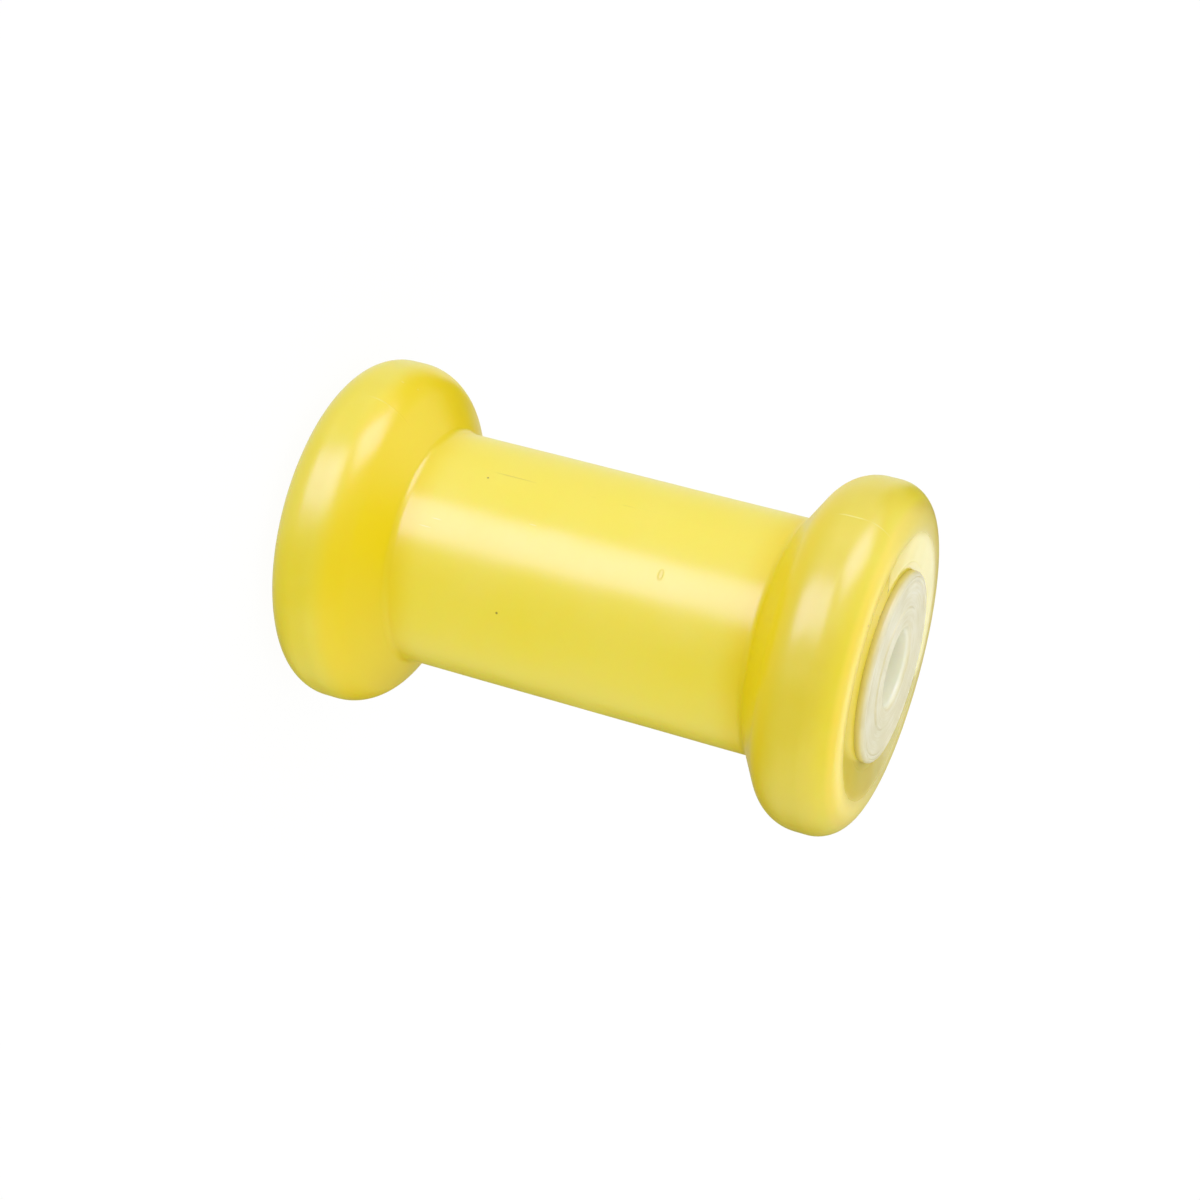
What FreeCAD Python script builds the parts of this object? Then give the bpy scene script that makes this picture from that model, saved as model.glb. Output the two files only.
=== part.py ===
"""Boat trailer roller: a spool of soft glossy plastic, moulded over a full length hub core.

Lengths are in millimetres and angles in degrees. Z is the roller's axis and the origin is at
its middle. The roller stands on one end of its core, and its two ends are alike.
"""

import FreeCAD, Part
import math
import os

# Spool: a barrel between two flanges
body_length = 127.0
flange_diameter = 76.2
barrel_diameter = 51.4
flange_width = 23.1  # along the barrel's surface
flank_lean = 32.0  # of each flange's inner face, away from square to the axis
root_fillet = 2.2
inner_round = 9.8
outer_round = 7.4
end_dish = 0.6  # how far each end face sinks towards the core
dish_diameter = 59.0
dish_round = 25.0

# Hub core: a thick tube that stands a little proud of the spool's ends
core_diameter = 41.0
core_proud = 1.25
core_edge_round = 0.8
boss_diameter = 25.8
boss_height = 0.25
bore_diameter = 16.3
bore_chamfer = 0.8

# Grooves round the core hold the spool endways, and flutes along it keep it from turning
groove_count = 3
groove_width = 8.0
groove_depth = 1.5
groove_pitch = 24.0
flute_count = 4
flute_radius = 3.0
flute_length = 84.0

# Share of an edge that its rounded corners may use together
edge_share = 0.98

AXIS = FreeCAD.Vector(0, 0, 1)
CENTRE = FreeCAD.Vector(0, 0, 0)

core_face = body_length / 2 + core_proud
boss_face = core_face + boss_height
core_radius = core_diameter / 2
groove_radius = core_radius - groove_depth


def point(radius, height):
    """A point of a section, which lies in the plane Y = 0."""
    return FreeCAD.Vector(radius, 0, height)


def tangent_lengths(points, radii):
    """How far each corner's round reaches along its edges, cut down where an edge is too short."""
    count = len(points)
    reaches = []
    for i in range(count):
        to_last = points[i - 1] - points[i]
        to_next = points[(i + 1) % count] - points[i]
        reaches.append(radii[i] / math.tan(to_last.getAngle(to_next) / 2))
    shares = []
    for i in range(count):
        edge = (points[(i + 1) % count] - points[i]).Length
        wanted = reaches[i] + reaches[(i + 1) % count]
        shares.append(min(1.0, edge_share * edge / wanted) if wanted else 1.0)
    return [reaches[i] * min(shares[i], shares[i - 1]) for i in range(count)]


def round_corner(corner, before, after, reach):
    """The start, middle and end of the arc that is tangent to both edges at this distance."""
    to_last = (before - corner).normalize()
    to_next = (after - corner).normalize()
    half_angle = to_last.getAngle(to_next) / 2
    radius = reach * math.tan(half_angle)
    inward = (to_last + to_next).normalize()
    middle = corner + inward * (radius / math.sin(half_angle) - radius)
    return corner + to_last * reach, middle, corner + to_next * reach


def rounded_section(corners):
    """A closed face from corners of (radius, height, rounding), with tangent arcs at the roundings."""
    points = [point(radius, height) for radius, height, rounding in corners]
    reaches = tangent_lengths(points, [rounding for radius, height, rounding in corners])
    edges = []
    starts = []
    ends = []
    for i, corner in enumerate(points):
        if not reaches[i]:
            starts.append(corner)
            ends.append(corner)
            continue
        arc = round_corner(corner, points[i - 1], points[(i + 1) % len(points)], reaches[i])
        starts.append(arc[0])
        ends.append(arc[2])
        edges.append(Part.Arc(*arc).toShape())
    for i in range(len(points)):
        edges.append(Part.LineSegment(ends[i], starts[(i + 1) % len(points)]).toShape())
    return Part.Face(Part.Wire(Part.__sortEdges__(edges)))


def both_ends(upper_corners):
    """The corners of the upper half, from the middle up, and their mirror image below."""
    lower_corners = [(radius, -height, rounding) for radius, height, rounding in reversed(upper_corners)]
    return upper_corners + lower_corners


def turned(section):
    """The solid that the section makes when it is turned once round the axis."""
    return section.revolve(CENTRE, AXIS, 360)


def tube(outer_radius, inner_radius, length, middle):
    """A plain tube on the axis, centred at this height."""
    base = CENTRE + AXIS * (middle - length / 2)
    outer = Part.makeCylinder(outer_radius, length, base, AXIS)
    return outer.cut(Part.makeCylinder(inner_radius, length, base, AXIS))


def lock_grooves():
    """Evenly spaced rings, to be cut out of the core's outside."""
    first = -groove_pitch * (groove_count - 1) / 2
    return [
        tube(core_radius + groove_depth, groove_radius, groove_width, first + groove_pitch * i)
        for i in range(groove_count)
    ]


def lock_flutes():
    """Half round channels along the core's outside, which end before the spool's end faces."""
    flutes = []
    for i in range(flute_count):
        turn = math.radians(360 * i / flute_count)
        foot = FreeCAD.Vector(core_radius * math.cos(turn), core_radius * math.sin(turn), -flute_length / 2)
        flutes.append(Part.makeCylinder(flute_radius, flute_length, foot, AXIS))
    return flutes


def core_blank():
    """The core's outside with no bore, which is also the space that the spool leaves for it."""
    boss = boss_diameter / 2
    corners = [
        (core_radius, core_face, core_edge_round),
        (boss, core_face, 0),
        (boss, boss_face, 0),
        (0, boss_face, 0),
    ]
    blank = turned(rounded_section(both_ends(corners)))
    return blank.cut(lock_grooves() + lock_flutes())


def core_bore():
    """The shaft's bore, with a lead-in at each end."""
    bore = bore_diameter / 2
    corners = [
        (bore, boss_face - bore_chamfer, 0),
        (bore + bore_chamfer, boss_face, 0),
        (0, boss_face, 0),
    ]
    return turned(rounded_section(both_ends(corners)))


def hub_core():
    """The pale core: it carries the spool, and the roller turns on the shaft in its bore."""
    return core_blank().cut(core_bore())


def roller_body():
    """The yellow spool, which fills the grooves and flutes of the core that it is moulded over."""
    barrel = barrel_diameter / 2
    flange = flange_diameter / 2
    end = body_length / 2
    root = end - flange_width
    crest = root + (flange - barrel) * math.tan(math.radians(flank_lean))
    corners = [
        (barrel, root, root_fillet),
        (flange, crest, inner_round),
        (flange, end, outer_round),
        (dish_diameter / 2, end, dish_round),
        (core_radius, end - end_dish, 0),
        (0, end - end_dish, 0),
    ]
    return turned(rounded_section(both_ends(corners))).cut(core_blank())


def save(node, shape):
    """Writes one sub-part, which has to be a single closed solid."""
    solid = shape.removeSplitter()
    print(node, "solids", len(solid.Solids), "valid", solid.isValid(), "volume", round(solid.Volume, 1))
    solid.exportStep(f"parts/{node}.step")


os.makedirs("parts", exist_ok=True)
save("roller_body", roller_body())
save("hub_core", hub_core())
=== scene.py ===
# %% [markdown]
# # A boat trailer roller
#
# The object is a spool that carries a boat's keel on a trailer: a smooth barrel between two fat,
# rounded flanges, moulded from soft yellow plastic over a pale hard core with a hole for the shaft.
# It has only two pieces, so nearly all of its look comes from form and finish: the rounds of the
# flanges, the waxy yellow, the turned face of the core, and the small marks that moulding leaves.
#
# Everything here is in metres, and stands in the frame of the solid model: the shaft's axis is Z,
# the origin is the roller's middle, and the roller stands on one end of its core.

import math
from types import SimpleNamespace

import bpy
from mathutils import Matrix, Vector


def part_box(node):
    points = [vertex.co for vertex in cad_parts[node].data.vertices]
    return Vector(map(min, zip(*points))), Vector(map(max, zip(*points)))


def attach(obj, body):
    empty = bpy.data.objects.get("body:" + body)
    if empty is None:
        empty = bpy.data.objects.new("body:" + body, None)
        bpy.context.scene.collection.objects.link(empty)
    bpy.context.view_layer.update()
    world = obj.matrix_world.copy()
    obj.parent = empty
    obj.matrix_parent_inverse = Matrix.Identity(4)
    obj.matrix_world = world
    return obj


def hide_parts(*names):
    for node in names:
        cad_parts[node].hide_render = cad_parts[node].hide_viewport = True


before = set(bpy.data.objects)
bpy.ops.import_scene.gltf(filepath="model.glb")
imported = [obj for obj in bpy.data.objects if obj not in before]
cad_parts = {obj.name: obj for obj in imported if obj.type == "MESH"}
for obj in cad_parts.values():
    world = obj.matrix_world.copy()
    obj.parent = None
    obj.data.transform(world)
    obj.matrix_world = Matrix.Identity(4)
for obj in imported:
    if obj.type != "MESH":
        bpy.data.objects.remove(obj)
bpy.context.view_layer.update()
spool_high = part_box("roller_body")[1]
core_low, core_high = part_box("hub_core")

# %% [markdown]
# ## Sizes
#
# The sizes that the solids already have are read from their boxes, so they can't drift apart. The
# rest are the same named values that a drawing of the roller would give, written in millimetres
# and turned into metres once, here. MM is also the unit for every small mark further down.

# %% Sizes of the roller
MM = 0.001

END = spool_high.z
FLANGE = spool_high.y
CORE = core_high.y
BOSS_FACE = core_high.z

BARREL = 25.7 * MM
FLANGE_WIDTH = 23.1 * MM
FLANK_LEAN = math.radians(32)
ROOT_FILLET = 2.2 * MM
INNER_ROUND = 9.8 * MM
OUTER_ROUND = 7.4 * MM
END_DISH = 0.6 * MM
DISH = 29.5 * MM
DISH_ROUND = 25.0 * MM

BORE = 8.15 * MM
BORE_CHAMFER = 0.8 * MM
BOSS = 12.9 * MM
BOSS_HEIGHT = 0.25 * MM
CORE_ROUND = 0.8 * MM

ROOT = END - FLANGE_WIDTH
CREST = ROOT + (FLANGE - BARREL) * math.tan(FLANK_LEAN)
CORE_FACE = BOSS_FACE - BOSS_HEIGHT
print("flange root at", round(ROOT / MM, 2), "mm and crest at", round(CREST / MM, 2), "mm")

# %% [markdown]
# ## Node graphs as expressions
#
# A shader or a Geometry Nodes tree is mostly small sums. Written as one node call after another
# they are hard to read, so a Wire wraps a socket and lets Python's own operators add the Math
# nodes. A Graph adds every other node with one method: what the node is set to, then what goes
# into its sockets. The same two classes serve materials, the world and geometry.

# %% Wire and Graph
class Wire:
    """A socket in an expression. Each operator adds the Math node that it stands for."""

    def __init__(self, graph, socket):
        self.graph = graph
        self.socket = socket

    def maths(self, operation, *others, first=None):
        values = (self, *others) if first is None else (first, self)
        return self.graph.add("ShaderNodeMath", {"operation": operation}, values)

    def __add__(self, other):
        return self.maths("ADD", other)

    def __radd__(self, other):
        return self.maths("ADD", other)

    def __sub__(self, other):
        return self.maths("SUBTRACT", other)

    def __rsub__(self, other):
        return self.maths("SUBTRACT", first=other)

    def __mul__(self, other):
        return self.maths("MULTIPLY", other)

    def __truediv__(self, other):
        return self.maths("DIVIDE", other)

    def __abs__(self):
        return self.maths("ABSOLUTE")

    def root(self):
        return self.maths("SQRT")

    def sign(self):
        return self.maths("SIGN")

    def larger(self, other):
        return self.maths("MAXIMUM", other)

    def smaller(self, other):
        return self.maths("MINIMUM", other)

    def between(self, low, high):
        """0 below low, 1 above high, and a smooth step from one to the other."""
        settings = {"interpolation_type": "SMOOTHSTEP"}
        sockets = {"Value": self, "From Min": low, "From Max": high}
        return self.graph.add("ShaderNodeMapRange", settings, sockets)

    def of(self, name):
        """Another output of the same node."""
        return Wire(self.graph, self.socket.node.outputs[name])


class Graph:
    """Builds a node tree, one call for each node."""

    def __init__(self, tree):
        self.tree = tree

    def add(self, kind, settings=None, sockets=(), output=0):
        node = self.tree.nodes.new(kind)
        for name, value in (settings or {}).items():
            if name == "stops":
                self.set_stops(node.color_ramp.elements, value)
            else:
                setattr(node, name, value)
        named = sockets.items() if isinstance(sockets, dict) else enumerate(sockets)
        for name, value in named:
            self.put(node.inputs[name], value)
        return Wire(self, node.outputs[output]) if node.outputs else node

    def set_stops(self, elements, stops):
        """Fills a ramp with pairs of place and grey level, from its low end up."""
        for place, level in stops[1:-1]:
            elements.new(place)
        for element, (place, level) in zip(elements, stops):
            element.position = place
            element.color = (level, level, level, 1)

    def put(self, socket, value):
        if isinstance(value, Wire):
            self.tree.links.new(value.socket, socket)
        else:
            socket.default_value = value

    def vector(self, operation, first, second=None, output="Vector"):
        """A Vector Math node on one or two vectors."""
        values = (first,) if second is None else (first, second)
        return self.add("ShaderNodeVectorMath", {"operation": operation}, values, output)

    def blend(self, factor, first, second):
        """A mix of two colours."""
        settings = {"data_type": "RGBA"}
        node = self.add("ShaderNodeMix", settings).socket.node
        colours = [s for s in node.inputs if s.type == "RGBA"]
        self.put(node.inputs["Factor"], factor)
        self.put(colours[0], first)
        self.put(colours[1], second)
        result = [s for s in node.outputs if s.type == "RGBA"]
        return Wire(self, result[0])

    def noise(self, place, scale, detail):
        """Smooth noise about 0, mostly within -0.25 to 0.25. One over the scale is a blot's size."""
        return self.add("ShaderNodeTexNoise", {}, {"Vector": place, "Scale": scale, "Detail": detail}) - 0.5


# %% [markdown]
# ### What the graphs share
#
# A material, the world and a piece each begin and end in their own way, and every part of a round
# thing asks how far it is from the axis. Those few steps are written once, here.

# %% Shared steps of the graphs
def shader_graph(material):
    """An empty graph for a material's nodes."""
    material.use_nodes = True
    material.node_tree.nodes.clear()
    return Graph(material.node_tree)


def close_shader(g, sockets):
    """Ends a material: one Principled shader with these inputs."""
    surface = g.add("ShaderNodeBsdfPrincipled", {}, sockets)
    g.add("ShaderNodeOutputMaterial", {}, (surface,))


def measured(g, place):
    """A place's x, y and z, and its distance from the roller's axis."""
    x = g.add("ShaderNodeSeparateXYZ", {}, (place,), "X")
    y = x.of("Y")
    return x, y, x.of("Z"), (x * x + y * y).root()


def lathe_noise(g, place, fineness, scale, detail):
    """Noise in fine lines that run round the axis and close on themselves with no seam."""
    x, y, z, radius = measured(g, place)
    around = g.add("ShaderNodeCombineXYZ", {}, (x / radius, y / radius, (z + radius) * fineness))
    return g.noise(around, scale, detail)


def geometry_tree(name, **sizes):
    """A Geometry Nodes tree with these named inputs: its graph and its input node."""
    tree = bpy.data.node_groups.new(name, "GeometryNodeTree")
    tree.interface.new_socket("Geometry", in_out="INPUT", socket_type="NodeSocketGeometry")
    tree.interface.new_socket("Geometry", in_out="OUTPUT", socket_type="NodeSocketGeometry")
    for label, value in sizes.items():
        kind = "NodeSocketInt" if isinstance(value, int) else "NodeSocketFloat"
        socket = tree.interface.new_socket(label, in_out="INPUT", socket_type=kind)
        socket.default_value = value
    graph = Graph(tree)
    entry = graph.add("NodeGroupInput")
    return graph, entry


def close_tree(graph, geometry, material):
    """Ends a tree: real geometry, with its material."""
    real = graph.add("GeometryNodeRealizeInstances", {}, {"Geometry": geometry})
    sockets = {"Geometry": real, "Material": material}
    painted = graph.add("GeometryNodeSetMaterial", {}, sockets)
    leave = graph.tree.nodes.new("NodeGroupOutput")
    graph.tree.links.new(painted.socket, leave.inputs[0])


def grown(name, source, graph, material, **sizes):
    """Runs the tree on the source and keeps the result as a plain mesh with no modifier."""
    modifier = source.modifiers.new(name, "NODES")
    modifier.node_group = graph.tree
    for item in graph.tree.interface.items_tree:
        if item.in_out == "INPUT" and item.name in sizes:
            modifier[item.identifier] = sizes[item.name]
    depsgraph = bpy.context.evaluated_depsgraph_get()
    evaluated = source.evaluated_get(depsgraph)
    mesh = bpy.data.meshes.new_from_object(evaluated, depsgraph=depsgraph)
    mesh.name = name
    mesh.materials.clear()
    mesh.materials.append(material)
    bpy.data.objects.remove(source)
    piece = bpy.data.objects.new(name, mesh)
    bpy.context.scene.collection.objects.link(piece)
    print(name, "has", len(mesh.polygons), "faces")
    return piece


# %% [markdown]
# ## Camera
#
# The photograph was taken from about half a metre away, with the roller lying on its side. In this
# frame the roller stands, so the camera is turned on its own axis instead. Its distance and lens
# matter as much as its angle: the near flange has to look larger than the far one by the right
# amount. The camera is placed from what can be measured in a picture: how high it looks from, how
# far it is rolled, how far away it is, and where in the picture the roller's middle falls.

# %% Camera
PICTURE = 1200
FOCAL_PIXELS = 2602
SENSOR = 36
DISTANCE = 0.5571
LOOKS_DOWN = math.radians(18.48)
ROLLED = math.radians(15.04)
MIDDLE_X = 608.0
MIDDLE_Y = 591.4

forward = Vector((0, math.cos(LOOKS_DOWN), -math.sin(LOOKS_DOWN)))
level_right = Vector((1, 0, 0))
level_up = level_right.cross(forward)
right = level_up * math.cos(ROLLED) - level_right * math.sin(ROLLED)
down = level_up * math.sin(ROLLED) + level_right * math.cos(ROLLED)

metres_per_pixel = DISTANCE / FOCAL_PIXELS
sideways = (MIDDLE_X - PICTURE / 2) * metres_per_pixel
lower = (MIDDLE_Y - PICTURE / 2) * metres_per_pixel
eye = -(forward * DISTANCE + right * sideways + down * lower)

camera_data = bpy.data.cameras.new("camera")
camera_data.sensor_width = SENSOR
camera_data.lens = SENSOR * FOCAL_PIXELS / PICTURE
camera_data.clip_start = 0.01
camera = bpy.data.objects.new("camera", camera_data)
camera.matrix_world = Matrix.Translation(eye) @ Matrix((right, -down, -forward)).transposed().to_4x4()
bpy.context.scene.collection.objects.link(camera)
bpy.context.scene.camera = camera
bpy.context.scene.view_settings.view_transform = "Standard"
print("lens", round(camera_data.lens, 1), "mm, camera at", [round(x, 3) for x in eye])

# %% [markdown]
# ## World, floor and lamps
#
# A glossy thing shows the room it stands in. The roller was photographed in a white room, brighter
# overhead than below, so its upper edges are pale and its undersides keep a deep colour. The world
# makes that room. The camera and clear materials see it plain white. Light on a surface is almost
# even, so that a colour renders about as it is written: a little more comes from above, from the
# front and from the right, and a glow from straight below stands for what white paper throws back.
# Reflections see a room of their own: a ramp on how far up the picture a direction points, with a
# few brighter and darker patches in it. One patch is small and strong, and shows in the end face.
#
# A patch is placed by where it stands as seen from the roller, in degrees to the picture's right
# and top, because that is what a highlight's place in the photograph tells.

# %% Room
picture_up = -down


def toward(side, rise):
    """The direction that lies this many degrees to the picture's right and top from the camera."""
    side = math.radians(side)
    rise = math.radians(rise)
    level = right * math.sin(side) - forward * math.cos(side)
    return level * math.cos(rise) + picture_up * math.sin(rise)


WHITE = (1, 1, 1, 1)
ROOM_LIGHT = 0.905
ROOM_SLOPE = 0.165
ROOM_FRONT = 0.19
ROOM_RIGHT = 0.14
ROOM_BELOW = 5.0
STRAIGHT_BELOW = -0.85

REFLECTED_WHITE = (0.88, 0.97, 1.0, 1)
ROOM_REFLECTED = 2.0
ROOM_RAMP = [(0.0, 0.45), (0.05, 0.40), (0.10, 0.24), (0.17, 0.07), (0.25, 0.03), (0.35, 0.05)]
ROOM_RAMP += [(0.43, 0.15), (0.50, 0.25), (0.57, 0.38), (0.66, 0.46), (0.80, 0.44), (1.0, 0.50)]

# Side, rise, how far the patch is full, where it ends, and what it adds
ROOM_PATCHES = [
    (10, 55, 5, 60, 0.85),
    (115, -8, 10, 62, 0.75),
    (133, -13, 7, 13, 2.3),
    (148, 6, 14, 22, -0.8),
    (122, 40, 8, 34, -0.8),
    (141, 21, 6, 20, -0.7),
    (-138, -42, 5, 22, 0.3),
]

# %% World
world = bpy.data.worlds.new("white_room")
world.use_nodes = True
world.node_tree.nodes.clear()
sky = Graph(world.node_tree)
direction = sky.add("ShaderNodeTexCoord", output="Generated")
upward = sky.vector("DOT_PRODUCT", direction, tuple(picture_up), "Value")
frontal = sky.vector("DOT_PRODUCT", direction, tuple(-forward), "Value")
rightward = sky.vector("DOT_PRODUCT", direction, tuple(right), "Value")
ray = sky.add("ShaderNodeLightPath")
white_to = ray.of("Is Camera Ray").larger(ray.of("Is Transmission Ray"))
lit = ROOM_LIGHT + upward * ROOM_SLOPE + frontal * ROOM_FRONT
lit = lit + rightward * ROOM_RIGHT + (STRAIGHT_BELOW - upward).larger(0.0) * ROOM_BELOW
level = lit + white_to * (1 - lit)
reflected = sky.add("ShaderNodeValToRGB", {"stops": ROOM_RAMP}, (upward * 0.5 + 0.5,)) * ROOM_REFLECTED
for side, rise, full, end, change in ROOM_PATCHES:
    near = sky.vector("DOT_PRODUCT", direction, tuple(toward(side, rise)), "Value")
    patch = near.between(math.cos(math.radians(end)), math.cos(math.radians(full)))
    reflected = reflected + patch * change
level = level + ray.of("Is Glossy Ray") * (reflected.larger(0.0) - level)
tint = sky.blend(ray.of("Is Glossy Ray"), WHITE, REFLECTED_WHITE)
background = sky.add("ShaderNodeBackground", {}, {"Color": tint, "Strength": level})
sky.add("ShaderNodeOutputWorld", {}, {"Surface": background})
bpy.context.scene.world = world
print("the world has", len(world.node_tree.nodes), "nodes")

# %% [markdown]
# ### Floor
#
# The floor is white in the same way. It is there for the camera alone: it throws no light up at
# the roller, since the world's glow from below already does that, and isn't seen in the gloss.

# %% Floor
FLOOR_SIZE = 24.0
FLOOR_SHADE = 0.06
FLOOR_WHITE = 1.01
PAPER = (0.94, 0.94, 0.94, 1)

floor_material = bpy.data.materials.new("white_floor")
ground = shader_graph(floor_material)
ray = ground.add("ShaderNodeLightPath")
seen = ray.of("Is Camera Ray").larger(ray.of("Is Glossy Ray")).larger(ray.of("Is Transmission Ray"))
white = ground.add("ShaderNodeEmission", {}, {"Color": WHITE, "Strength": FLOOR_WHITE})
paper = ground.add("ShaderNodeBsdfDiffuse", {}, {"Color": PAPER})
sheet = ground.add("ShaderNodeMixShader", {}, (seen * (1 - FLOOR_SHADE), paper, white))
ground.add("ShaderNodeOutputMaterial", {}, (sheet,))

floor_mesh = bpy.data.meshes.new("floor")
half = FLOOR_SIZE / 2
floor_corners = [(-half, -half), (half, -half), (half, half), (-half, half)]
floor_mesh.from_pydata([(x, y, core_low.z) for x, y in floor_corners], [], [(0, 1, 2, 3)])
floor_mesh.materials.append(floor_material)
floor = bpy.data.objects.new("floor", floor_mesh)
floor.visible_diffuse = False
floor.visible_glossy = False
floor.visible_shadow = False
bpy.context.scene.collection.objects.link(floor)
print("the floor is", FLOOR_SIZE, "m across, at", round(core_low.z, 4), "m")

# %% [markdown]
# ### Soft boxes
#
# Two soft boxes give the pale patches on the barrel and the rims: each flange shows both, one
# above the other, with a gap between them. A soft box that is bright enough to show in a plastic
# would also burn out the colour below it, and Cycles can keep the two apart: these lamps are seen
# by glossy rays only. Their light is cool, because a camera holds back the red and green of a
# yellow that is nearly white, and lets only the blue rise.

# %% Soft boxes
SOFT_BOX_WHITE = (0.52, 0.50, 1.0)
SOFT_BOX_AWAY = 0.5


def soft_box(name, side, rise, width, height, radiance):
    """A rectangular lamp that faces the roller's middle and lights its gloss alone."""
    direction = toward(side, rise)
    data = bpy.data.lights.new(name, "AREA")
    data.shape = "RECTANGLE"
    data.size = width
    data.size_y = height
    data.color = SOFT_BOX_WHITE
    data.energy = radiance * math.pi * width * height
    across = picture_up.cross(direction).normalized()
    up = direction.cross(across)
    place = Matrix((across, up, direction)).transposed().to_4x4()
    thing = bpy.data.objects.new(name, data)
    thing.matrix_world = Matrix.Translation(direction * SOFT_BOX_AWAY) @ place
    thing.visible_camera = False
    thing.visible_diffuse = False
    bpy.context.scene.collection.objects.link(thing)
    print(name, "stands at", [round(x, 2) for x in thing.matrix_world.translation])


soft_box("left_soft_box", side=-33, rise=29, width=0.38, height=0.31, radiance=7.0)
soft_box("right_soft_box", side=41, rise=44, width=0.38, height=0.29, radiance=6.4)

# %% [markdown]
# ## Marks on a moulding
#
# A moulding carries its own history: a faint line where the mould's two halves met, a small oval
# where the plastic came in, a few dark grains that were in it, and the short pale scratches that
# handling adds. Each is a mask, 1 on the mark and 0 elsewhere. A spot needs only the distance from
# its middle. Measured after one direction is stretched, the same distance gives an oval or a short
# stroke. Places are given as on a lathe: how far round, how far out and how far along.

# %% Masks for marks
def lathe_point(turn, radius, height):
    """A place from its turn about the axis in degrees, its radius and its height, in millimetres."""
    turn = math.radians(turn)
    return Vector((radius * math.cos(turn), radius * math.sin(turn), height)) * MM


def spot(g, place, middle, size, squeeze=(1, 1, 1), soft=0.35):
    """1 within size of the middle, with a soft edge. Squeeze shortens distances in x, y and z."""
    apart = g.vector("SUBTRACT", place, tuple(middle))
    apart = g.vector("MULTIPLY", apart, squeeze)
    distance = g.vector("LENGTH", apart, output="Value")
    return 1 - distance.between(size * (1 - soft), size * (1 + soft))


def ring(radius, middle, width):
    """1 on a circle about the axis, fading over width on both sides of it."""
    return 1 - abs(radius - middle).between(0, width)


def beside(x, y, turn):
    """The distance from the plane through the axis at this turn, which is below 0 on one side."""
    return y * math.cos(turn) - x * math.sin(turn)


# %% [markdown]
# ### Where the marks are
#
# The end face has two more marks. A dark hairline runs out from the core, where the plastic folded
# over itself as it filled the mould, and a thin raised lip runs round beside the core.

# %% Places of the marks
PARTING_TURN = math.radians(45.5)
PARTING_WIDTH = 0.24 * MM
HAIRLINE_TURN = math.radians(232.3)
BEND_TURN = math.radians(268)
LIP = 22.4 * MM
LIP_WIDTH = 0.35 * MM

# Turn, radius and height, as lathe_point takes them
GATE_PLACE = (256.9, 25.7, 18.2)
GATE_SIZE = 1.25 * MM
DIMPLE_SIZE = 0.85 * MM
GATE_SQUEEZE = (1, 1, 1.9)

# Turn, radius, height and size
GRAINS = [
    (230.2, 25.7, -25.6, 0.22),
    (293.9, 25.7, -14.5, 0.26),
    (297.8, 26.6, 41.4, 0.25),
    (327.8, 26.7, -41.6, 0.26),
    (232.3, 23.6, 63.1, 0.42),
    (241.5, 21.0, 62.9, 0.26),
    (244.8, 21.2, 62.9, 0.32),
    (246.9, 21.0, 62.9, 0.26),
    (258.5, 20.9, 62.9, 0.22),
    (257.8, 30.5, 63.5, 0.20),
]

# Turn, radius, height and length
SCRATCHES = [
    (209.5, 35.7, -47.2, 1.6),
    (212.0, 37.4, -50.2, 2.2),
    (258.1, 25.7, -32.2, 1.0),
    (262.8, 25.7, -34.2, 1.3),
    (249.1, 25.7, -11.6, 0.8),
]
SCRATCH_WIDTH = 0.12
print(len(GRAINS), "grains and", len(SCRATCHES), "scratches")

# %% [markdown]
# ## Yellow plastic
#
# The spool is a soft, slightly see-through plastic. Light goes a few millimetres into it, so its
# colour is deep where the wall is thick, in the flanges, and paler on the barrel, where the pale
# core is only five millimetres below the surface. Subsurface scattering gives the waxy look, and
# the two depths of colour are mixed by the height along the axis. The near end face has painted
# light and shade in its colour: it is painted brighter on the side that faces the camera and
# darker, as painted shade, on the far side.
#
# Slow noise clouds the colour and lets the highlights' edges wander. The mould was turned on a
# lathe, so the finest lines run round it: noise on the turn's cosine and sine, with the distance
# along the section stretched hundreds of times, gives lines that close with no seam.

# %% Yellow by region
BARREL_YELLOW = (0.875, 0.740, 0.048, 1)
FLANK_YELLOW = (0.850, 0.665, 0.000, 1)
CREST_YELLOW = (0.800, 0.665, 0.014, 1)
GREYED_YELLOW = (0.740, 0.598, 0.028, 1)
LIT_END_YELLOW = (0.915, 0.695, 0.030, 1)
SHADED_END_YELLOW = (0.515, 0.400, 0.026, 1)
MILKY_YELLOW = (0.860, 0.750, 0.130, 1)


def spool_place(g):
    """Where a point is on the spool: its coordinates, masks for the regions, and slow noise."""
    place = g.add("ShaderNodeTexCoord", output="Object")
    x, y, z, radius = measured(g, place)
    height = abs(z)
    end_height = z.between(END - 1.2 * MM, END - 0.8 * MM)
    return SimpleNamespace(
        place=place,
        x=x,
        y=y,
        z=z,
        radius=radius,
        on_barrel=1 - height.between(ROOT - 8 * MM, ROOT + 1 * MM),
        on_crest=height.between(48 * MM, 53 * MM),
        on_end=end_height * (1 - radius.between(27 * MM, 31 * MM)),
        cloud=g.noise(place, 60, 3),
        blots=g.noise(place, 170, 2),
        lathe_lines=lathe_noise(g, place, 480, 6, 2),
    )


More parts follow.
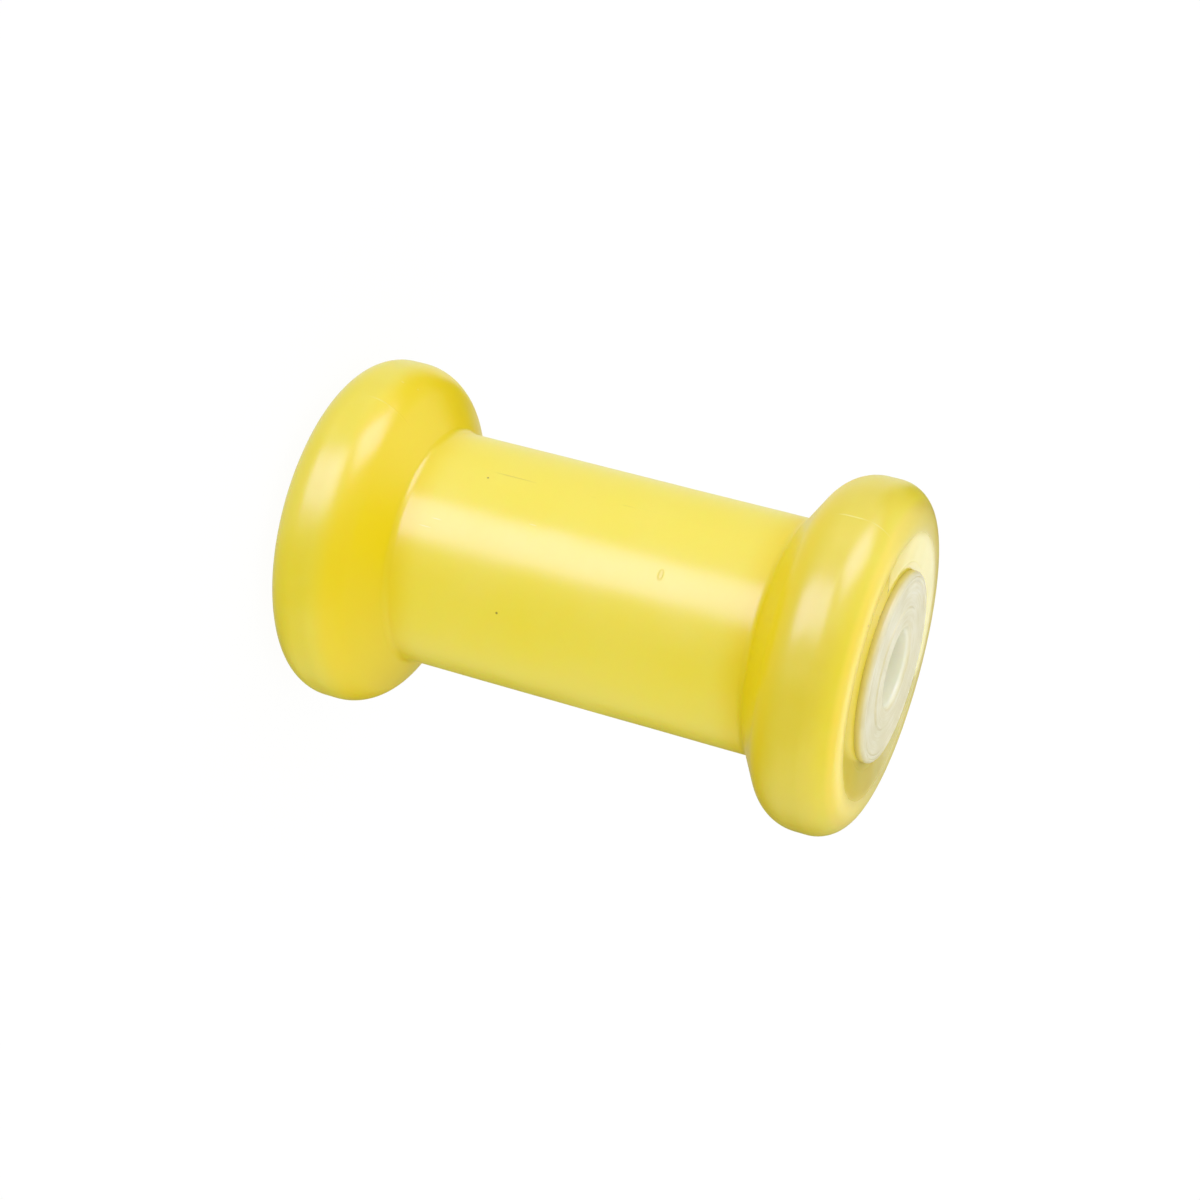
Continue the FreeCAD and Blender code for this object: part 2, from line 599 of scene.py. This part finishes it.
def region_yellow(g, at):
    """The yellow before any mark: by region, then made milky where the surface is rubbed."""
    colour = g.blend(at.on_crest, FLANK_YELLOW, CREST_YELLOW)
    greyed = at.z.between(46 * MM, 53 * MM) * (1 - at.z.between(58 * MM, 62 * MM))
    colour = g.blend(greyed * 0.8, colour, GREYED_YELLOW)
    # Painted light and shade: the end face is painted from a lit yellow on the camera's side to a shaded
    # yellow on the far side.
    painted_end_shade = (at.y - at.x * 0.17) / (54 * MM) + 0.5 + at.cloud * 0.5
    painted_end_light_and_shade = g.blend(painted_end_shade.between(0, 1), LIT_END_YELLOW, SHADED_END_YELLOW)
    colour = g.blend(at.z.between(END - 2 * MM, END - 0.8 * MM), colour, painted_end_light_and_shade)
    colour = g.blend(at.on_barrel, colour, BARREL_YELLOW)
    milky = at.cloud * 0.6 + at.blots * 0.2 + at.lathe_lines * 0.05 + 0.22
    return g.blend(milky * (at.on_barrel + at.on_crest), colour, MILKY_YELLOW)


# %% [markdown]
# ### Marks in the yellow
#
# The parting line is broken by noise, and shows as a dark line on the barrel and a pale one on the
# flanges' crests. Every mark is blended over the yellow with its own colour and strength; the
# gate's deeper yellow is painted shade.

# %% Marks in the yellow
PARTING_YELLOW = (0.520, 0.430, 0.030, 1)
HAIRLINE_YELLOW = (0.400, 0.300, 0.020, 1)
GRAIN = (0.160, 0.110, 0.015, 1)
LIP_AND_GATE_SHADE_YELLOW = (0.740, 0.600, 0.010, 1)
SCRATCHED_YELLOW = (0.930, 0.860, 0.350, 1)


def all_scratches(g, at):
    """1 on every scratch, which is a spot drawn out along the axis."""
    mask = 0
    for turn, out, along, length in SCRATCHES:
        squeeze = (1, 1, SCRATCH_WIDTH / length)
        mask = mask + spot(g, at.place, lathe_point(turn, out, along), SCRATCH_WIDTH * MM, squeeze)
    return mask


def all_grains(g, at):
    """1 on every grain."""
    mask = 0
    for turn, out, along, size in GRAINS:
        mask = mask + spot(g, at.place, lathe_point(turn, out, along), size * MM)
    return mask


def end_hairline(at):
    """1 on the hairline, which runs straight out from beside the core."""
    out = at.x * math.cos(HAIRLINE_TURN) + at.y * math.sin(HAIRLINE_TURN)
    reach = out.between(21 * MM, 23 * MM) * (1 - out.between(30 * MM, 33 * MM))
    apart = abs(beside(at.x, at.y, HAIRLINE_TURN))
    return reach * (1 - apart.between(0.05 * MM, 0.16 * MM)) * at.on_end


def moulding_marks(g, at):
    """A mask for each kind of mark."""
    broken = g.noise(at.place, 90, 3).between(-0.04, 0.12)
    apart = abs(beside(at.x, at.y, PARTING_TURN))
    parting = (1 - apart.between(0.3 * PARTING_WIDTH, PARTING_WIDTH)) * broken
    barrel_part = at.z.between(-26 * MM, -22 * MM) * (1 - at.z.between(4 * MM, 8 * MM))
    gate = lathe_point(*GATE_PLACE)
    return SimpleNamespace(
        parting=parting,
        barrel_parting=parting * barrel_part,
        crest_parting=parting * at.on_crest * at.radius.between(33 * MM, 35 * MM),
        scratches=all_scratches(g, at),
        gate=spot(g, at.place, gate, GATE_SIZE, GATE_SQUEEZE, soft=0.15),
        dimple=spot(g, at.place, gate, DIMPLE_SIZE, GATE_SQUEEZE, soft=0.3),
        grains=all_grains(g, at),
        hairline=end_hairline(at),
        lip=ring(at.radius, LIP, LIP_WIDTH) * at.on_end * (0.6 + at.cloud * 2),
    )


def marked(g, colour, marks):
    """The colour with every mark blended over it."""
    colour = g.blend(marks.barrel_parting * 0.4, colour, PARTING_YELLOW)
    colour = g.blend(marks.crest_parting * 0.6, colour, SCRATCHED_YELLOW)
    colour = g.blend(marks.scratches * 0.5, colour, SCRATCHED_YELLOW)
    # Painted shade: the gate is painted a deeper yellow where its bump turns the highlight away.
    colour = g.blend(marks.gate * 0.5, colour, LIP_AND_GATE_SHADE_YELLOW)
    colour = g.blend(marks.grains * 0.75, colour, GRAIN)
    colour = g.blend(marks.hairline * 0.85, colour, HAIRLINE_YELLOW)
    return g.blend(marks.lip * 0.5, colour, LIP_AND_GATE_SHADE_YELLOW)


# %% [markdown]
# ### Finish
#
# The finish is where such a part looks real or not. The surface is duller where clouds and scuffs
# are and round the rim of the end face, which everything rubs against, and glossier on the end
# face itself. The heights of the relief are in millimetres.
#
# The end face isn't quite flat. Beyond the hairline it leans a few degrees, so that half of it
# shows another part of the room. The lean starts sharply at the hairline and fades out softly on
# the other side, at the bend.

# %% Yellow plastic
FOLD_LEAN = 0.15
FOLD_EDGE = 0.3 * MM
BEND_EDGE = 5 * MM
YELLOW_ROUGHNESS = 0.285


def spool_relief(g, at, marks):
    """The shading normal that the surface's heights give."""
    relief = g.noise(at.place, 70, 1) * 0.14 + at.blots * 0.002 + at.lathe_lines * 0.0003
    relief = relief - marks.scratches * 0.01 + marks.parting * 0.02
    relief = relief + marks.gate * 0.04 - marks.dimple * 0.06 + marks.lip * 0.03
    return g.add("ShaderNodeBump", {}, {"Strength": 1.0, "Distance": MM, "Height": relief})


def folded(g, at, normal):
    """Leans the normal on the folded part of the end face, square to the hairline."""
    off_fold = beside(at.x, at.y, HAIRLINE_TURN) / FOLD_EDGE
    off_bend = beside(at.x, at.y, BEND_TURN) / BEND_EDGE
    lean = off_fold.larger(off_bend).larger(-1.0).smaller(0.0) * at.on_end * FOLD_LEAN
    leaning = (lean * math.sin(HAIRLINE_TURN), lean * -math.cos(HAIRLINE_TURN))
    tilted = g.vector("ADD", normal, g.add("ShaderNodeCombineXYZ", {}, leaning))
    return g.vector("NORMALIZE", tilted)


def spool_roughness(g, at):
    """How dull the yellow is, by region and wear."""
    clouded = at.cloud.larger(0.0) * (1 - at.on_end)
    scuffs = (g.noise(at.place, 300, 2) * at.on_crest * (1 - at.on_end)).larger(0.0)
    rubbed = ring(at.radius, 31.5 * MM, 4 * MM) * at.z.between(END - 4 * MM, END - 2 * MM)
    return YELLOW_ROUGHNESS + clouded * 0.35 + scuffs * 0.15 - at.on_end * 0.09 + rubbed * 0.14


def yellow_plastic():
    material = bpy.data.materials.new("yellow_plastic")
    g = shader_graph(material)
    at = spool_place(g)
    marks = moulding_marks(g, at)
    sockets = {
        "Base Color": marked(g, region_yellow(g, at), marks),
        "Roughness": spool_roughness(g, at),
        "Normal": folded(g, at, spool_relief(g, at, marks)),
        "IOR": 1.53,
        "Subsurface Weight": 0.5,
        "Subsurface Radius": (1.0, 0.62, 0.12),
        "Subsurface Scale": 3.0 * MM,
    }
    close_shader(g, sockets)
    return material


YELLOW = yellow_plastic()
print("yellow plastic has", len(YELLOW.node_tree.nodes), "nodes")

# %% [markdown]
# ## Pale core
#
# The core is a harder, creamy white plastic. Only its end faces and bore show. Its face was cut on
# a lathe, which leaves rings, and has been handled since, so it has faint smudges as well. Its colour
# also has painted light and shade in it: it is painted whiter on the side that the light comes
# from, and its foot, where it meets the yellow plastic, is painted yellow for the shade and yellow
# light that plastic throws there. Light passes well into it, and the bore is painted a brighter
# cream as well, as painted light, so the bore's mouth is almost as bright as the face.

# %% Pale plastic of the core
CREAM = (0.700, 0.630, 0.375, 1)
STAINED_CREAM = (0.740, 0.670, 0.370, 1)
SMUDGED_AND_LIT_CREAM = (0.850, 0.810, 0.630, 1)
FOOT_SHADE_CREAM = (0.780, 0.650, 0.120, 1)
LIT_BORE_CREAM = (0.950, 0.935, 0.760, 1)
EDGE_WIDTH = 0.9 * MM


def pale_plastic():
    material = bpy.data.materials.new("pale_plastic")
    g = shader_graph(material)
    place = g.add("ShaderNodeTexCoord", output="Object")
    x, y, z, radius = measured(g, place)
    smudge = g.noise(place, 160, 4)
    rings = lathe_noise(g, place, 900, 2, 3)
    # Painted light: besides its smudges and rings, the core is painted whiter towards the side that the
    # light comes from.
    smudge_and_painted_light = smudge * 1.3 + rings * 1.5 + 0.28 - x * 10 - y * 9
    colour = g.blend(smudge_and_painted_light, CREAM, SMUDGED_AND_LIT_CREAM)
    edge = ring(radius, CORE, EDGE_WIDTH)
    colour = g.blend(edge * (0.4 + smudge * 2), colour, STAINED_CREAM)
    # Painted shade: the foot of the core's wall is painted yellow, for the shade and yellow light that the
    # yellow end face throws on it.
    above_foot = abs(z).between(END - END_DISH, CORE_FACE - 0.2 * MM)
    painted_foot_shade = radius.between(CORE - CORE_ROUND, CORE) * (1 - above_foot)
    colour = g.blend(painted_foot_shade, colour, FOOT_SHADE_CREAM)
    # Painted light: the bore is painted a brighter cream than the face, so that its mouth shows almost as
    # bright as the face.
    painted_bore_light = 1 - radius.between(BORE, BORE + BORE_CHAMFER)
    colour = g.blend(painted_bore_light, colour, LIT_BORE_CREAM)
    relief = rings * 0.012 + smudge * 0.02
    sockets = {
        "Base Color": colour,
        "Roughness": 0.40 + smudge * 0.3,
        "Normal": g.add("ShaderNodeBump", {}, {"Strength": 1.0, "Distance": MM, "Height": relief}),
        "IOR": 1.5,
        "Subsurface Weight": 0.6,
        "Subsurface Radius": (1.0, 0.9, 0.6),
        "Subsurface Scale": 3.0 * MM,
    }
    close_shader(g, sockets)
    return material


PALE = pale_plastic()
print("pale plastic has", len(PALE.node_tree.nodes), "nodes")

# %% [markdown]
# ## The turned forms
#
# Both pieces are round about the axis, so both are one section swept round a circle. The section
# is drawn as a polyline of sharp corners, and each corner keeps its own rounding in the point's
# radius: Fillet Curve then turns that number into an arc. Changing a round is changing one
# number, and the arcs always meet the straight runs smoothly. Curve to Mesh sweeps the section
# round the circle and closes it, so there is no pole and no seam to weld.

# %% Sweep a section round the axis
def section_curve(name, corners, centre_line):
    """A closed polyline of (radius, height, rounding), listed from the top end down."""
    curve = bpy.data.curves.new(name, "CURVE")
    curve.dimensions = "3D"
    spline = curve.splines.new("POLY")
    spline.points.add(len(corners) - 1)
    for point, (radius, height, rounding) in zip(spline.points, corners):
        point.co = (radius - centre_line, -height, 0, 1)
        point.radius = rounding
    spline.use_cyclic_u = True
    source = bpy.data.objects.new(name, curve)
    bpy.context.scene.collection.objects.link(source)
    return source


def sweep(graph, entry, centre_line):
    """Rounds the section's corners and turns it once round the axis."""
    rounding = graph.add("GeometryNodeInputRadius")
    sockets = {"Curve": entry, "Count": entry.of("Round Steps"), "Radius": rounding, "Limit Radius": True}
    section = graph.add("GeometryNodeFilletCurve", {"mode": "POLY"}, sockets)
    sockets = {"Resolution": entry.of("Turn Steps"), "Radius": centre_line}
    circle = graph.add("GeometryNodeCurvePrimitiveCircle", {"mode": "RADIUS"}, sockets)
    sockets = {"Curve": circle, "Profile Curve": section, "Fill Caps": False}
    return graph.add("GeometryNodeCurveToMesh", {}, sockets)


def crisp(graph, geometry, degrees):
    """Smooth shading, apart from edges that turn by more than this angle."""
    smooth = graph.add("GeometryNodeSetShadeSmooth", {"domain": "FACE"}, {"Geometry": geometry})
    angle = graph.add("GeometryNodeInputMeshEdgeAngle")
    sharp = graph.add("FunctionNodeCompare", {"operation": "GREATER_THAN"}, (angle, math.radians(degrees)))
    sockets = {"Geometry": smooth, "Selection": sharp, "Shade Smooth": False}
    return graph.add("GeometryNodeSetShadeSmooth", {"domain": "EDGE"}, sockets)


def mirrored(upper):
    """The upper half's corners, from the end to the middle, and their mirror image."""
    return upper + [(radius, -height, rounding) for radius, height, rounding in reversed(upper)]


# %% [markdown]
# ### The spool
#
# The barrel gets a row of points every two millimetres. It needs them because a soft moulding is
# never quite true: it shrinks a little as it cools, and its surface wanders by a few hundredths of
# a millimetre. That is too little to see in the outline, and just enough to bend the edges of the
# reflections, which is how an eye tells a moulding from a drawing.

# %% Spool
BARREL_ROW = 2 * MM
ROWS_TOP = ROOT * 0.9


def spool():
    rows = int(ROWS_TOP / BARREL_ROW)
    barrel_rows = [(BARREL, ROWS_TOP * (1 - i / rows), 0) for i in range(rows)]
    upper = [
        (CORE, END - END_DISH, 0),
        (DISH, END, DISH_ROUND),
        (FLANGE, END, OUTER_ROUND),
        (FLANGE, CREST, INNER_ROUND),
        (BARREL, ROOT, ROOT_FILLET),
    ]
    centre_line = (CORE + FLANGE) / 2
    source = section_curve("spool_section", mirrored(upper + barrel_rows), centre_line)
    sizes = {"Turn Steps": 384, "Round Steps": 22, "Wander": 0.15 * MM, "Wander Scale": 38.0}
    graph, entry = geometry_tree("spool_tree", **sizes)
    body = sweep(graph, entry, centre_line)
    noise = graph.add("ShaderNodeTexNoise", {}, {"Scale": entry.of("Wander Scale"), "Detail": 1.0})
    reach = (noise - 0.5) * entry.of("Wander")
    normal = graph.add("GeometryNodeInputNormal")
    offset = graph.add("ShaderNodeVectorMath", {"operation": "SCALE"}, {0: normal, "Scale": reach})
    moved = graph.add("GeometryNodeSetPosition", {}, {"Geometry": body, "Offset": offset})
    close_tree(graph, crisp(graph, moved, 40), YELLOW)
    return grown("spool", source, graph, YELLOW, **sizes)


spool_piece = spool()
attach(spool_piece, "root")
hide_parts("roller_body")

# %% [markdown]
# ### The core
#
# The core's end faces show the tool that cut them. Rings of real geometry, a few hundredths of a
# millimetre high, follow the distance from the axis, so the section has a point every fifth of a
# millimetre there. Two deeper lines run near the rim, where the tool was set down, and a low boss
# stands round the bore. The rim itself is a little ragged, because the plastic was cut and not
# moulded there.

# %% Core
RING_STEP = 0.2 * MM
TOOL_LINES = (18.6 * MM, 19.5 * MM)
TOOL_LINE_WIDTH = 0.16 * MM
TOOL_LINE_DEPTH = 0.16 * MM
BORE_SOFTNESS = 0.9 * MM
BOSS_SLOPE = 0.4 * MM


def face_rows(inner, outer, height):
    """Points across a flat ring of the end face, from the inside out."""
    count = int((outer - inner) / RING_STEP)
    radii = [inner + (outer - inner) * (i + 1) / (count + 1) for i in range(count)]
    clear = [r for r in radii if min(abs(r - line) for line in TOOL_LINES) > 1.3 * TOOL_LINE_WIDTH]
    rows = [(r, height, 0) for r in clear]
    for line in TOOL_LINES:
        if inner < line < outer:
            rows += [(line - TOOL_LINE_WIDTH, height, 0), (line, height - TOOL_LINE_DEPTH, 0)]
            rows += [(line + TOOL_LINE_WIDTH, height, 0)]
    return sorted(rows)


def core_section():
    """The upper half's corners, from the bore outwards."""
    upper = [(BORE, BOSS_FACE - BORE_CHAMFER, BORE_SOFTNESS)]
    upper += [(BORE + BORE_CHAMFER, BOSS_FACE, BORE_SOFTNESS)]
    upper += face_rows(BORE + 1.6 * BORE_CHAMFER, BOSS, BOSS_FACE)
    upper += [(BOSS, BOSS_FACE, 0), (BOSS + BOSS_SLOPE, CORE_FACE, 0)]
    upper += face_rows(BOSS + BOSS_SLOPE, CORE - 1.1 * CORE_ROUND, CORE_FACE)
    upper += [(CORE, CORE_FACE, CORE_ROUND)]
    return mirrored(upper)


def cut_face(graph, entry):
    """How deep the tool cut at each point: rings on the face, and tears at the rim."""
    place = graph.add("GeometryNodeInputPosition")
    _, _, z, radius = measured(graph, place)
    on_face = abs(z).between(CORE_FACE - 0.3 * BOSS_HEIGHT, CORE_FACE - 0.1 * BOSS_HEIGHT)
    inside = radius.between(BORE + BORE_CHAMFER, BORE + 2 * BORE_CHAMFER)
    outside = 1 - radius.between(CORE - 2 * CORE_ROUND, CORE - CORE_ROUND)
    settings = {"noise_dimensions": "1D"}
    sockets = {"W": radius, "Scale": entry.of("Ring Scale"), "Detail": 1.0}
    turned = graph.add("ShaderNodeTexNoise", settings, sockets) * entry.of("Ring Height")
    sockets = {"Vector": place, "Scale": entry.of("Ragged Scale"), "Detail": 2.0}
    torn = graph.add("ShaderNodeTexNoise", {}, sockets) * entry.of("Ragged Edge")
    at_rim = radius.between(CORE - 1.2 * CORE_ROUND, CORE) * abs(z).between(END, CORE_FACE)
    depth = on_face * inside * outside * turned + at_rim * torn
    return graph.add("ShaderNodeCombineXYZ", {}, {"Z": depth * z.sign() * -1})


def core():
    centre_line = (BORE + CORE) / 2
    source = section_curve("core_section", core_section(), centre_line)
    sizes = {"Turn Steps": 256, "Round Steps": 7, "Ring Height": 0.07 * MM, "Ring Scale": 1300.0}
    sizes.update({"Ragged Edge": 0.25 * MM, "Ragged Scale": 700.0})
    graph, entry = geometry_tree("core_tree", **sizes)
    body = sweep(graph, entry, centre_line)
    sockets = {"Geometry": body, "Offset": cut_face(graph, entry)}
    moved = graph.add("GeometryNodeSetPosition", {}, sockets)
    close_tree(graph, crisp(graph, moved, 30), PALE)
    return grown("core", source, graph, PALE, **sizes)


core_piece = core()
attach(core_piece, "root")
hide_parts("hub_core")
